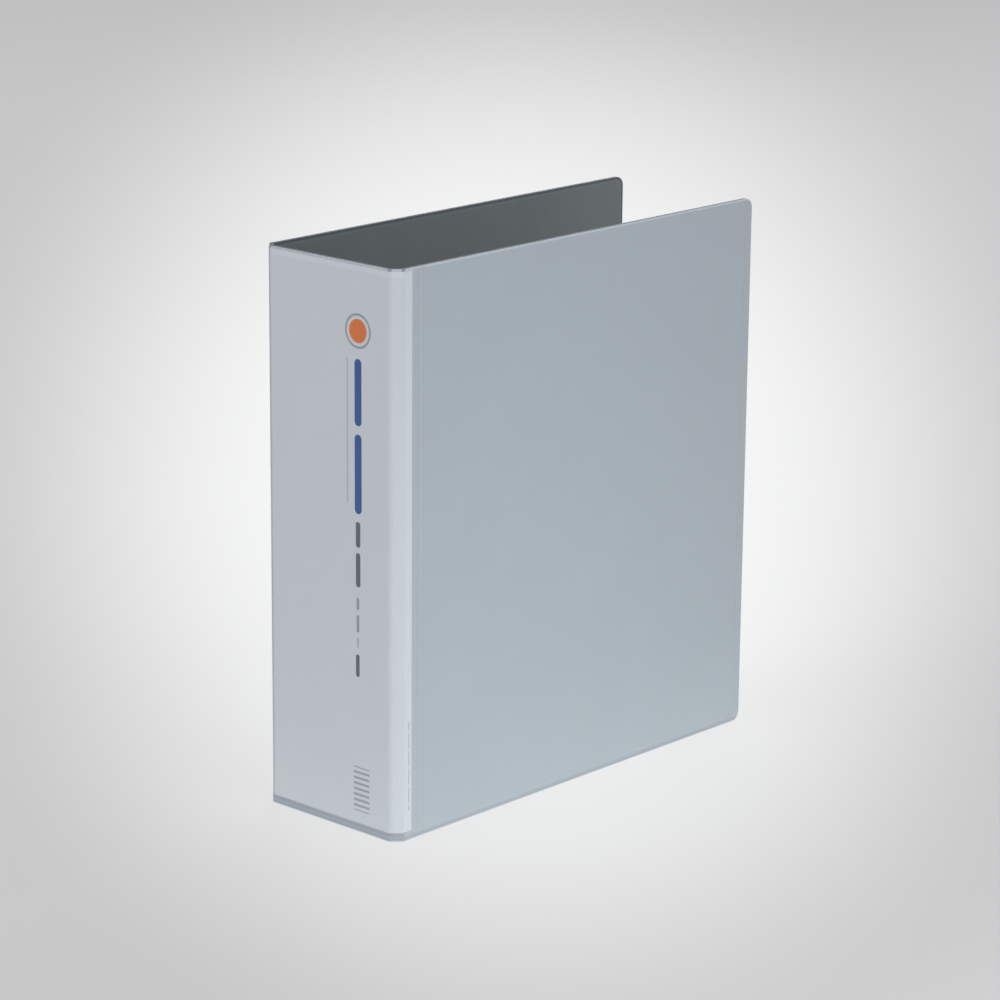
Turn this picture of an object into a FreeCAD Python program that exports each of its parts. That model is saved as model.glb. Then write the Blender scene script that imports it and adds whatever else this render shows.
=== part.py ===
import FreeCAD, Part
import Sketcher
import os

# Insert-view D-ring binder for A4 sheets, standing on its bottom edges.
# Millimetres. X runs across the spine, back cover at -X and front cover at +X.
# Y runs from the spine (-Y) to the fore-edge (+Y). Z is up. The origin is the centre of the
# bounding box's bottom face.

V = FreeCAD.Vector
doc = FreeCAD.newDocument("ring_binder")
sheet = doc.addObject("Spreadsheet::Sheet", "Dims")

DIMS = [
    # overall
    ("height_total", 318.0, "height of the case"),
    ("width_total", 102.0, "width across the spine, film included"),
    ("depth_total", 295.0, "depth from the spine film to the fore-edge"),
    # board, film and insert
    ("board_thick", 2.4, "polypropylene board"),
    ("skin_gap", 0.25, "pocket gap between board and film"),
    ("film_thick", 0.20, "clear cover film"),
    ("crease_offset", 5.3, "how far each crease lies from the square corner"),
    ("crease_gap", 0.08, "clearance of a panel end from its crease line"),
    ("corner_radius", 5.5, "fore-edge corners of the covers"),
    ("film_bottom", 0.8, "film edge above the floor"),
    ("film_top_cover", 0.8, "film edge below the covers' top edge"),
    ("film_top_spine", 4.0, "film edge below the spine's top edge"),
    ("film_crease_gap", 0.35, "film edge to the crease line"),
    ("film_fore_edge", 0.6, "film edge to the covers' fore-edge"),
    ("film_corner_radius", 5.0, "film corners at the fore-edge"),
    ("weld_height", 4.2, "top of the bottom weld band"),
    ("weld_side_offset", 12.7, "side weld line from the cover crease"),
    ("weld_fore_offset", 4.5, "fore-edge weld line from the fore-edge"),
    ("weld_line_width", 1.6, "width of a weld line"),
    ("insert_thick", 0.22, "spine insert sheet"),
    ("insert_gap", 0.30, "insert panel edge to the crease line"),
    ("insert_bottom", 5.2, "insert's bottom edge above the floor"),
    ("insert_top", 1.2, "insert's top edge below the spine's top edge"),
    ("insert_flap", 6.3, "how far the insert reaches onto each cover"),
    # ring mechanism
    ("mech_offset", 47.0, "centre line of the mechanism from the spine board"),
    ("housing_length", 272.0, "arched housing"),
    ("housing_half", 20.2, "half width of the housing"),
    ("steel_thick", 1.0, "housing sheet"),
    ("crown_height", 9.6, "outer height of the housing"),
    ("crown_half", 7.0, "half width of the flat crown"),
    ("shoulder_height", 5.0, "height where the slope ends"),
    ("shoulder_reach", 19.6, "half width where the slope ends"),
    ("side_height", 4.2, "height of the upright side"),
    ("lower_lip", 16.6, "reach of the lower lip"),
    ("upper_lip", 16.9, "reach of the upper lip"),
    ("pivot_reach", 18.2, "plate pivot from the centre line"),
    ("pivot_height", 3.2, "plate pivot above the cover"),
    ("groove_radius", 0.66, "groove that holds the plate edge"),
    ("lower_flank", 8.0, "slope of the lower groove flank, degrees"),
    ("upper_flank", 17.0, "slope of the upper groove flank, degrees"),
    ("plate_half_thick", 0.6, "half thickness of a hinge plate"),
    ("plate_width", 17.9, "pivot to the inner edge"),
    ("plate_end", 124.5, "half length of a hinge plate"),
    ("plate_rest_angle", 3.0, "plates dip towards the centre when shut, degrees"),
    ("plate_notch", 4.3, "notch round a rivet post"),
    ("ring_pitch", 80.0, "ring spacing"),
    ("ring_reach", 12.0, "prong root from the centre line"),
    ("ring_root_height", 3.6, "prong shoulder above the cover"),
    ("wire_radius", 2.1, "ring wire"),
    ("tenon_radius", 1.5, "prong tenon"),
    ("tenon_length", 1.7, "prong tenon"),
    ("tenon_hole", 1.6, "tenon hole in the plate"),
    ("ring_top_height", 90.0, "centre line of the ring's top above the cover"),
    ("post_corner", 8.0, "bend at the top of the straight prong"),
    ("post_tip_reach", 2.3, "end of the straight prong"),
    ("curve_tip_reach", 2.0, "end of the curved prong"),
    ("curve_rise", 5.4, "straight foot of the curved prong"),
    ("curve_first_bend", 8.0, "first bend of the curved prong"),
    ("curve_second_bend", 10.0, "second bend of the curved prong"),
    ("curve_lean", 50.0, "lean between the two bends, degrees"),
    ("curve_bulge", 13.0, "how far the curved prong stands out from its root"),
    ("tongue_radius", 0.9, "tongue on the straight prong's end"),
    ("tongue_length", 1.5, "tongue on the straight prong's end"),
    ("socket_radius", 1.1, "socket in the curved prong's end"),
    ("socket_depth", 1.9, "socket in the curved prong's end"),
    ("slot_half", 2.5, "half width of a prong slot in the housing"),
    ("slot_inner", 12.0, "inner end centre of a prong slot"),
    ("slot_outer", 13.3, "outer end centre of a prong slot"),
    # levers
    ("lever_pin_along", 130.0, "lever pin from mid length"),
    ("lever_pin_height", 5.2, "lever pin above the cover"),
    ("lever_pin_radius", 1.25, "lever pin"),
    ("lever_bore", 1.31, "lever bore"),
    ("lever_barrel", 2.6, "lever barrel radius"),
    ("lever_width", 7.8, "width of the lever"),
    ("lever_arm_length", 16.0, "pin to the arm's end"),
    ("lever_arm_thick", 1.8, "arm"),
    ("lever_arm_angle", 45.0, "arm above the cover when shut, degrees"),
    ("finger_width", 3.0, "finger under the plates"),
    ("crown_slot_half", 4.5, "half width of the lever slot in the crown"),
    ("crown_slot_start", 124.0, "inner end of the lever slot"),
    ("ear_thick", 1.2, "ear that holds the lever pin"),
    ("ear_half_length", 3.2, "half length of an ear"),
    ("ear_bottom", 3.4, "lower edge of an ear"),
    ("pin_head_radius", 1.9, "lever pin head"),
    ("pin_head_thick", 0.7, "lever pin head"),
    ("cap_length", 9.0, "plastic lever cap"),
    ("cap_start", 8.5, "pin to the cap"),
    ("cap_width", 15.0, "plastic lever cap"),
    ("cap_thick", 4.2, "plastic lever cap"),
    ("cap_round", 1.2, "plastic lever cap edges"),
    # rivet posts
    ("rivet_along", 80.0, "rivet from mid length"),
    ("rivet_outer_head", 4.5, "outer head radius"),
    ("rivet_head_depth", 0.8, "outer head recess"),
    ("rivet_shank", 2.4, "shank in the board"),
    ("rivet_post", 3.0, "post under the crown"),
    ("rivet_stub", 2.0, "stub through the crown"),
    ("rivet_inner_head", 3.4, "inner head radius"),
    ("rivet_inner_thick", 0.9, "inner head thickness"),
]
for row, (alias, value, note) in enumerate(DIMS, start=1):
    sheet.set("A%d" % row, note)
    sheet.set("B%d" % row, str(value))
    sheet.setAlias("B%d" % row, alias)
doc.recompute()
D = {alias: float(value) for alias, value, note in DIMS}

# Expressions used often.
HW = "(Dims.width_total/2-Dims.skin_gap-Dims.film_thick)"  # outer face of a cover board
YS = "(-Dims.depth_total/2+Dims.skin_gap+Dims.film_thick)"  # outer face of the spine board
YF = "(Dims.depth_total/2)"  # fore-edge
CR = "Dims.crease_offset"
TB = "Dims.board_thick"
KM = "(Dims.board_thick*tan(22.5))"  # mitre of a panel end at a crease
GP = "Dims.crease_gap"
SK = "(Dims.skin_gap+Dims.film_thick)"

half_w = D["width_total"] / 2 - D["skin_gap"] - D["film_thick"]
y_spine = -D["depth_total"] / 2 + D["skin_gap"] + D["film_thick"]
x_inner = -(half_w - D["board_thick"])
y_mech = y_spine + D["mech_offset"]
z_mid = D["height_total"] / 2

nodes = []  # (node name, object)


def number(expr):
    r = sheet.evalExpression(expr)
    return float(getattr(r, "Value", r))


def new_body(name, label=None):
    body = doc.addObject("PartDesign::Body", name)
    body.Label = label or name
    return body


def new_sketch(body, name, role, offset=None):
    sk = body.newObject("Sketcher::SketchObject", name)
    base = [f for f in body.Origin.OriginFeatures if f.Role == role][0]
    sk.AttachmentSupport = (base, [""])
    sk.MapMode = "FlatFace"
    if offset is not None:
        sk.setExpression("AttachmentOffset.Base.z", offset)
    return sk


def outline(sk, points, arcs=None, closed=True):
    """Chain of lines and arcs through points given as expressions. arcs maps the index of a
    segment to (radius expression, point on the arc), or for a half circle, whose radius its ends
    fix, to (("X" or "Y", that coordinate of its centre), point on the arc)."""
    arcs = arcs or {}
    xy = [V(number(x), number(y), 0) for x, y in points]
    count = len(xy)
    segments = count if closed else count - 1
    first = sk.GeometryCount
    ends = []
    for i in range(segments):
        a, b = xy[i], xy[(i + 1) % count]
        if i in arcs:
            mid = V(number(arcs[i][1][0]), number(arcs[i][1][1]), 0)
            if (mid - a).cross(b - mid).z > 0:  # a sketch's arcs run anticlockwise
                sk.addGeometry(Part.Arc(a, mid, b), False)
                ends.append((1, 2))
            else:
                sk.addGeometry(Part.Arc(b, mid, a), False)
                ends.append((2, 1))
        else:
            sk.addGeometry(Part.LineSegment(a, b), False)
            ends.append((1, 2))
    for i in range(segments if closed else segments - 1):
        j = (i + 1) % segments
        sk.addConstraint(Sketcher.Constraint("Coincident", first + i, ends[i][1], first + j, ends[j][0]))
    for i in range(count):
        if i < segments:
            geo, pos = first + i, ends[i][0]
        else:
            geo, pos = first + i - 1, ends[i - 1][1]
        k = sk.addConstraint(Sketcher.Constraint("DistanceX", -1, 1, geo, pos, xy[i].x))
        sk.setExpression("Constraints[%d]" % k, points[i][0])
        k = sk.addConstraint(Sketcher.Constraint("DistanceY", -1, 1, geo, pos, xy[i].y))
        sk.setExpression("Constraints[%d]" % k, points[i][1])
    for i, (radius, mid) in arcs.items():
        if isinstance(radius, tuple):
            way, radius = radius
            k = sk.addConstraint(Sketcher.Constraint("Distance" + way, -1, 1, first + i, 3, number(radius)))
        else:
            k = sk.addConstraint(Sketcher.Constraint("Radius", first + i, number(radius)))
        sk.setExpression("Constraints[%d]" % k, radius)


def circle(sk, x, y, radius):
    cx, cy, r = number(x), number(y), number(radius)
    g = sk.addGeometry(Part.Circle(V(cx, cy, 0), V(0, 0, 1), r), False)
    k = sk.addConstraint(Sketcher.Constraint("DistanceX", -1, 1, g, 3, cx))
    sk.setExpression("Constraints[%d]" % k, x)
    k = sk.addConstraint(Sketcher.Constraint("DistanceY", -1, 1, g, 3, cy))
    sk.setExpression("Constraints[%d]" % k, y)
    k = sk.addConstraint(Sketcher.Constraint("Radius", g, r))
    sk.setExpression("Constraints[%d]" % k, radius)


def box_outline(sk, x0, y0, x1, y1):
    outline(sk, [(x0, y0), (x1, y0), (x1, y1), (x0, y1)])


def pad(body, name, sk, length, midplane=False, reverse=False):
    f = body.newObject("PartDesign::Pad", name)
    f.Profile = sk
    f.setExpression("Length", length)
    if midplane:
        f.SideType = "Symmetric"
    f.Reversed = reverse
    doc.recompute()
    return f


def pocket(body, name, sk, length=None, reverse=False):
    """Cuts away from the sketch against its normal, or along it when reversed, and checks that
    something was cut."""
    before = body.Shape.Volume
    f = body.newObject("PartDesign::Pocket", name)
    f.Profile = sk
    if length is None:
        f.Type = "ThroughAll"
    else:
        f.setExpression("Length", length)
    f.Reversed = reverse
    doc.recompute()
    if not body.Shape.Volume < before - 1e-4:
        raise RuntimeError("%s of %s cut nothing" % (name, body.Label))
    return f


def round_edges(body, name, feature, radius, test):
    names = []
    for i, e in enumerate(feature.Shape.Edges, start=1):
        if test(e):
            names.append("Edge%d" % i)
    f = body.newObject("PartDesign::Fillet", name)
    f.Base = (feature, names)
    f.setExpression("Radius", radius)
    doc.recompute()
    return f


def along_x_at_fore_edge(y_edge):
    def test(e):
        a, b = e.Vertexes[0].Point, e.Vertexes[-1].Point
        return (
            abs(a.y - y_edge) < 1e-4 and abs(b.y - y_edge) < 1e-4 and abs(a.z - b.z) < 1e-4 and abs(a.x - b.x) > 0.05
        )

    return test


def keep(name, obj):
    obj.Label = name
    nodes.append((name, obj))


def mirror_x(points, sign):
    return [("%d*(%s)" % (sign, x), y) for x, y in points]


# ---------------------------------------------------------------- case panels
# Each panel end is mitred at 22.5 degrees towards the inside, so that two panels that share a
# crease line meet when the case is shut and open like a book about that line.

body = new_body("spine_panel")
sk = new_sketch(body, "spine_section", "XY_Plane")
outline(
    sk,
    [
        ("-(%s-%s-%s)" % (HW, CR, GP), YS),
        ("%s-%s-%s" % (HW, CR, GP), YS),
        ("%s-%s-%s-%s" % (HW, CR, KM, GP), "%s+%s" % (YS, TB)),
        ("-(%s-%s-%s-%s)" % (HW, CR, KM, GP), "%s+%s" % (YS, TB)),
    ],
)
pad(body, "spine_pad", sk, "Dims.height_total")
keep("spine_panel", body)

for side, sign in (("front", 1), ("back", -1)):
    body = new_body("%s_hinge_strip" % side)
    sk = new_sketch(body, "%s_strip_section" % side, "XY_Plane")
    outline(
        sk,
        mirror_x(
            [
                ("%s-%s+%s*cos(45)" % (HW, CR, GP), "%s+%s*cos(45)" % (YS, GP)),
                ("%s-%s*cos(45)" % (HW, GP), "%s+%s-%s*cos(45)" % (YS, CR, GP)),
                ("%s-%s-%s*cos(45)" % (HW, TB, GP), "%s+%s+%s-%s*cos(45)" % (YS, CR, KM, GP)),
                ("%s-%s-%s+%s*cos(45)" % (HW, CR, KM, GP), "%s+%s+%s*cos(45)" % (YS, TB, GP)),
            ],
            sign,
        ),
    )
    pad(body, "%s_strip_pad" % side, sk, "Dims.height_total")
    keep("%s_hinge_strip" % side, body)

    body = new_body("%s_cover" % side)
    sk = new_sketch(body, "%s_cover_section" % side, "XY_Plane")
    outline(
        sk,
        mirror_x(
            [
                (HW, "%s+%s+%s" % (YS, CR, GP)),
                (HW, YF),
                ("%s-%s" % (HW, TB), YF),
                ("%s-%s" % (HW, TB), "%s+%s+%s+%s" % (YS, CR, KM, GP)),
            ],
            sign,
        ),
    )
    base = pad(body, "%s_cover_pad" % side, sk, "Dims.height_total")
    round_edges(body, "%s_cover_corners" % side, base, "Dims.corner_radius", along_x_at_fore_edge(D["depth_total"] / 2))
    if side == "back":
        # Recesses for the outer rivet heads, and holes for their shanks.
        sk = new_sketch(body, "rivet_recess_sketch", "YZ_Plane", "-%s" % HW)
        for way in (-1, 1):
            circle(
                sk,
                "%s+Dims.mech_offset" % YS,
                "Dims.height_total/2+%d*Dims.rivet_along" % way,
                "Dims.rivet_outer_head",
            )
        pocket(body, "rivet_recesses", sk, "Dims.rivet_head_depth", reverse=True)
        sk = new_sketch(body, "rivet_hole_sketch", "YZ_Plane", "-%s" % HW)
        for way in (-1, 1):
            circle(
                sk, "%s+Dims.mech_offset" % YS, "Dims.height_total/2+%d*Dims.rivet_along" % way, "Dims.rivet_shank"
            )
        pocket(body, "rivet_holes", sk, "Dims.board_thick+1", reverse=True)
    keep("%s_cover" % side, body)

# ---------------------------------------------------------------- clear film
# Each film panel is welded to the board along its bottom band and its weld lines, and stands off
# the board by the pocket gap elsewhere. The pockets are open at the top.

body = new_body("film_spine")
sk = new_sketch(body, "film_spine_section", "XY_Plane", "Dims.film_bottom")
box_outline(
    sk,
    "-(%s-%s-Dims.film_crease_gap)" % (HW, CR),
    "%s-%s" % (YS, SK),
    "%s-%s-Dims.film_crease_gap" % (HW, CR),
    YS,
)
pad(body, "film_spine_pad", sk, "Dims.height_total-Dims.film_bottom-Dims.film_top_spine")
sk = new_sketch(body, "film_spine_gap_section", "XY_Plane", "Dims.weld_height")
box_outline(sk, "-%s" % HW, "%s-Dims.skin_gap" % YS, HW, "%s+1" % YS)
pocket(body, "film_spine_pocket", sk, reverse=True)
keep("film_spine", body)

for side, sign in (("front", 1), ("back", -1)):
    body = new_body("film_%s_strip" % side)
    ng = "(Dims.film_crease_gap*cos(45))"

    def strip_quad(inner, outer, trim):
        """Quadrilateral along the hinge strip between two offsets from its outer face."""
        return [
            ("%s-%s+%s+(%s)*cos(45)" % (HW, CR, trim, inner), "%s+%s-(%s)*cos(45)" % (YS, trim, inner)),
            ("%s-%s+(%s)*cos(45)" % (HW, trim, inner), "%s+%s-%s-(%s)*cos(45)" % (YS, CR, trim, inner)),
            ("%s-%s+(%s)*cos(45)" % (HW, trim, outer), "%s+%s-%s-(%s)*cos(45)" % (YS, CR, trim, outer)),
            ("%s-%s+%s+(%s)*cos(45)" % (HW, CR, trim, outer), "%s+%s-(%s)*cos(45)" % (YS, trim, outer)),
        ]

    sk = new_sketch(body, "film_%s_strip_section" % side, "XY_Plane", "Dims.film_bottom")
    outline(sk, mirror_x(strip_quad("0", SK, ng), sign))
    pad(body, "film_%s_strip_pad" % side, sk, "Dims.height_total-Dims.film_bottom-Dims.film_top_spine")
    sk = new_sketch(body, "film_%s_strip_gap_section" % side, "XY_Plane", "Dims.weld_height")
    outline(sk, mirror_x(strip_quad("-1", "Dims.skin_gap", "(-1)"), sign))
    pocket(body, "film_%s_strip_pocket" % side, sk, reverse=True)
    keep("film_%s_strip" % side, body)

    body = new_body("film_%s_cover" % side)
    sk = new_sketch(body, "film_%s_cover_section" % side, "XY_Plane", "Dims.film_bottom")
    outline(
        sk,
        mirror_x(
            [
                (HW, "%s+%s+Dims.film_crease_gap" % (YS, CR)),
                ("%s+%s" % (HW, SK), "%s+%s+Dims.film_crease_gap" % (YS, CR)),
                ("%s+%s" % (HW, SK), "%s-Dims.film_fore_edge" % YF),
                (HW, "%s-Dims.film_fore_edge" % YF),
            ],
            sign,
        ),
    )
    base = pad(
        body, "film_%s_cover_pad" % side, sk, "Dims.height_total-Dims.film_bottom-Dims.film_top_cover"
    )
    round_edges(
        body,
        "film_%s_cover_corners" % side,
        base,
        "Dims.film_corner_radius",
        along_x_at_fore_edge(D["depth_total"] / 2 - D["film_fore_edge"]),
    )
    sk = new_sketch(body, "film_%s_side_gap_section" % side, "XY_Plane", "Dims.weld_height")
    outline(
        sk,
        mirror_x(
            [
                ("%s-1" % HW, "%s+%s-1" % (YS, CR)),
                ("%s+Dims.skin_gap" % HW, "%s+%s-1" % (YS, CR)),
                ("%s+Dims.skin_gap" % HW, "%s+%s+Dims.weld_side_offset-Dims.weld_line_width/2" % (YS, CR)),
                ("%s-1" % HW, "%s+%s+Dims.weld_side_offset-Dims.weld_line_width/2" % (YS, CR)),
            ],
            sign,
        ),
    )
    pocket(body, "film_%s_side_pocket" % side, sk, reverse=True)
    sk = new_sketch(body, "film_%s_cover_gap_section" % side, "XY_Plane", "Dims.weld_height")
    outline(
        sk,
        mirror_x(
            [
                ("%s-1" % HW, "%s+%s+Dims.weld_side_offset+Dims.weld_line_width/2" % (YS, CR)),
                (
                    "%s+Dims.skin_gap" % HW,
                    "%s+%s+Dims.weld_side_offset+Dims.weld_line_width/2" % (YS, CR),
                ),
                ("%s+Dims.skin_gap" % HW, "%s-Dims.weld_fore_offset-Dims.weld_line_width/2" % YF),
                ("%s-1" % HW, "%s-Dims.weld_fore_offset-Dims.weld_line_width/2" % YF),
            ],
            sign,
        ),
    )
    pocket(body, "film_%s_cover_pocket" % side, sk, reverse=True)
    keep("film_%s_cover" % side, body)

# ---------------------------------------------------------------- spine insert
# One sheet folded at the creases, cut into its five panels.

INS_LEN = "Dims.height_total-Dims.insert_bottom-Dims.insert_top"
body = new_body("insert_spine")
sk = new_sketch(body, "insert_spine_section", "XY_Plane", "Dims.insert_bottom")
box_outline(
    sk,
    "-(%s-%s-Dims.insert_gap)" % (HW, CR),
    "%s-Dims.insert_thick" % YS,
    "%s-%s-Dims.insert_gap" % (HW, CR),
    YS,
)
pad(body, "insert_spine_pad", sk, INS_LEN)
keep("insert_spine", body)
for side, sign in (("front", 1), ("back", -1)):
    body = new_body("insert_%s_strip" % side)
    sk = new_sketch(body, "insert_%s_strip_section" % side, "XY_Plane", "Dims.insert_bottom")
    outline(sk, mirror_x(strip_quad("0", "Dims.insert_thick", "(Dims.insert_gap*cos(45))"), sign))
    pad(body, "insert_%s_strip_pad" % side, sk, INS_LEN)
    keep("insert_%s_strip" % side, body)

    body = new_body("insert_%s_flap" % side)
    sk = new_sketch(body, "insert_%s_flap_section" % side, "XY_Plane", "Dims.insert_bottom")
    outline(
        sk,
        mirror_x(
            [
                (HW, "%s+%s+Dims.insert_gap" % (YS, CR)),
                ("%s+Dims.insert_thick" % HW, "%s+%s+Dims.insert_gap" % (YS, CR)),
                ("%s+Dims.insert_thick" % HW, "%s+%s+Dims.insert_flap" % (YS, CR)),
                (HW, "%s+%s+Dims.insert_flap" % (YS, CR)),
            ],
            sign,
        ),
    )
    pad(body, "insert_%s_flap_pad" % side, sk, INS_LEN)
    keep("insert_%s_flap" % side, body)

# ---------------------------------------------------------------- ring housing
# Local frame of the mechanism: x is the height off the back cover, y runs from the spine side to
# the fore-edge side, z runs along the mechanism, origin at its middle on the cover.

SL = "((Dims.crown_height-Dims.shoulder_height)/(Dims.shoulder_reach-Dims.crown_half))"
SQ = "sqrt(1+%s*%s)" % (SL, SL)
INNER_V = "Dims.shoulder_height+%s*(Dims.shoulder_reach-Dims.upper_lip)-Dims.steel_thick*%s" % (SL, SQ)
INNER_U = "Dims.shoulder_reach-(Dims.crown_height-Dims.steel_thick-Dims.shoulder_height+Dims.steel_thick*%s)/%s" % (
    SQ,
    SL,
)
low_tan = (
    "Dims.pivot_height-Dims.groove_radius*cos(Dims.lower_flank)",
    "Dims.pivot_reach+Dims.groove_radius*sin(Dims.lower_flank)",
)
up_tan = (
    "Dims.pivot_height+Dims.groove_radius*cos(Dims.upper_flank)",
    "Dims.pivot_reach+Dims.groove_radius*sin(Dims.upper_flank)",
)
half_profile = [
    ("Dims.crown_height", "Dims.crown_half"),
    ("Dims.shoulder_height", "Dims.shoulder_reach"),
    ("Dims.side_height", "Dims.housing_half"),
    ("0", "Dims.housing_half"),
    ("0", "Dims.lower_lip"),
    ("%s-(%s-Dims.lower_lip)*tan(Dims.lower_flank)" % (low_tan[0], low_tan[1]), "Dims.lower_lip"),
    low_tan,
    up_tan,
    ("%s+(%s-Dims.upper_lip)*tan(Dims.upper_flank)" % (up_tan[0], up_tan[1]), "Dims.upper_lip"),
    (INNER_V, "Dims.upper_lip"),
    ("Dims.crown_height-Dims.steel_thick", INNER_U),
]
right = half_profile
left = [(x, "-(%s)" % y) for x, y in reversed(half_profile)]
points = right + left
# Segment 6 of the right half is its groove; the left half runs the other way.
n_half = len(half_profile)
left_groove = n_half + (n_half - 1 - 7)
arcs = {
    6: ("Dims.groove_radius", ("Dims.pivot_height", "Dims.pivot_reach+Dims.groove_radius")),
    left_groove: ("Dims.groove_radius", ("Dims.pivot_height", "-(Dims.pivot_reach+Dims.groove_radius)")),
}
body = new_body("ring_housing")
sk = new_sketch(body, "housing_section", "XY_Plane")
outline(sk, points, arcs)
pad(body, "housing_pad", sk, "Dims.housing_length", midplane=True)
# Lever slots in the crown at both ends.
sk = new_sketch(body, "lever_slot_sketch", "YZ_Plane", "3")
for way in (-1, 1):
    box_outline(
        sk,
        "-Dims.crown_slot_half",
        "%d*Dims.crown_slot_start" % way,
        "Dims.crown_slot_half",
        "%d*(Dims.housing_length/2+1)" % way,
    )
pocket(body, "lever_slots", sk, "10", reverse=True)
# Ears bent down beside each slot.
for side_name, y_sign in (("fore", 1), ("spine", -1)):
    sk = new_sketch(
        body,
        "ear_sketch_%s" % side_name,
        "XZ_Plane",
        "Dims.crown_slot_half" if y_sign < 0 else "-(Dims.crown_slot_half+Dims.ear_thick)",
    )
    for way in (-1, 1):
        box_outline(
            sk,
            "Dims.ear_bottom",
            "%d*Dims.lever_pin_along-Dims.ear_half_length" % way,
            "Dims.crown_height-Dims.steel_thick/2",
            "%d*Dims.lever_pin_along+Dims.ear_half_length" % way,
        )
    pad(body, "ears_%s" % side_name, sk, "Dims.ear_thick")
# Holes for the lever pins through both ears.
sk = new_sketch(body, "pin_hole_sketch", "XZ_Plane", "-(Dims.crown_slot_half+Dims.ear_thick+0.5)")
for way in (-1, 1):
    circle(sk, "Dims.lever_pin_height", "%d*Dims.lever_pin_along" % way, "Dims.lever_pin_radius")
pocket(body, "pin_holes", sk, "2*(Dims.crown_slot_half+Dims.ear_thick+0.5)", reverse=True)
# Slots that the prongs pass through, with room to swing, repeated at the ring spacing.
sk = new_sketch(body, "prong_slot_sketch", "YZ_Plane", "3")
for y_sign in (1, -1):
    outline(
        sk,
        [
            ("%d*Dims.slot_inner" % y_sign, "-1.5*Dims.ring_pitch-Dims.slot_half"),
            ("%d*Dims.slot_outer" % y_sign, "-1.5*Dims.ring_pitch-Dims.slot_half"),
            ("%d*Dims.slot_outer" % y_sign, "-1.5*Dims.ring_pitch+Dims.slot_half"),
            ("%d*Dims.slot_inner" % y_sign, "-1.5*Dims.ring_pitch+Dims.slot_half"),
        ],
        {
            1: (
                ("X", "%d*Dims.slot_outer" % y_sign),
                ("%d*(Dims.slot_outer+Dims.slot_half)" % y_sign, "-1.5*Dims.ring_pitch"),
            ),
            3: (
                ("X", "%d*Dims.slot_inner" % y_sign),
                ("%d*(Dims.slot_inner-Dims.slot_half)" % y_sign, "-1.5*Dims.ring_pitch"),
            ),
        },
    )
slots = pocket(body, "prong_slots", sk, "10", reverse=True)
before = body.Shape.Volume
pattern = body.newObject("PartDesign::LinearPattern", "prong_slot_row")
pattern.Originals = [slots]
z_axis = [f for f in body.Origin.OriginFeatures if f.Role == "Z_Axis"][0]
pattern.Direction = (z_axis, [""])
pattern.setExpression("Length", "3*Dims.ring_pitch")
pattern.Occurrences = 4
body.Tip = pattern
doc.recompute()
if not body.Shape.Volume < before - 1:
    raise RuntimeError("prong slot row cut nothing")
# Holes for the rivet stubs.
sk = new_sketch(body, "rivet_stub_sketch", "YZ_Plane", "3")
for way in (-1, 1):
    circle(sk, "0", "%d*Dims.rivet_along" % way, "Dims.rivet_stub")
pocket(body, "rivet_stub_holes", sk, "10", reverse=True)
body.Placement = FreeCAD.Placement(V(x_inner, y_mech, z_mid), FreeCAD.Rotation())
keep("ring_housing", body)

# ---------------------------------------------------------------- hinge plates
# Local origin on the pivot line, x through the thickness, y towards the other plate for the
# spine-side plate and away from it for the fore-edge plate.
for name, s in (("plate_fore_side", -1), ("plate_spine_side", 1)):
    body = new_body(name)
    sk = new_sketch(body, name + "_section", "XY_Plane")
    outline(
        sk,
        [
            ("-Dims.plate_half_thick", "0"),
            ("-Dims.plate_half_thick", "%d*Dims.plate_width" % s),
            ("Dims.plate_half_thick", "%d*Dims.plate_width" % s),
            ("Dims.plate_half_thick", "0"),
        ],
        {3: (("Y", "0"), ("0", "%d*Dims.plate_half_thick" % -s))},
    )
    pad(body, name + "_pad", sk, "2*Dims.plate_end", midplane=True)
    sk = new_sketch(body, name + "_tenon_sketch", "YZ_Plane", "-1")
    for k in (-3, -1, 1, 3):
        circle(
            sk,
            "%d*(Dims.pivot_reach-Dims.ring_reach)/cos(Dims.plate_rest_angle)" % s,
            "%d*Dims.ring_pitch/2" % k,
            "Dims.tenon_hole",
        )
    pocket(body, name + "_tenon_holes", sk, "3", reverse=True)
    sk = new_sketch(body, name + "_notch_sketch", "YZ_Plane", "-1")
    for way in (-1, 1):
        circle(sk, "%d*Dims.pivot_reach" % s, "%d*Dims.rivet_along" % way, "Dims.plate_notch")
    pocket(body, name + "_notches", sk, "3", reverse=True)
    body.Placement = FreeCAD.Placement(
        V(x_inner + D["pivot_height"], y_mech - s * D["pivot_reach"], z_mid),
        FreeCAD.Rotation(V(0, 0, 1), s * D["plate_rest_angle"]),
    )
    keep(name, body)

# ---------------------------------------------------------------- ring prongs
RISE = "(Dims.ring_top_height-Dims.ring_root_height)"
POST_TIP = "(Dims.post_tip_reach-Dims.ring_reach)"
LEAN = "Dims.curve_lean"
B1 = "Dims.curve_first_bend"
B2 = "Dims.curve_second_bend"
RUN = "((Dims.curve_bulge-(%s+%s)*(1-cos(%s)))/sin(%s))" % (B1, B2, LEAN, LEAN)
TOP_R = "(Dims.ring_reach+Dims.curve_bulge+Dims.curve_tip_reach)"


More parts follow.
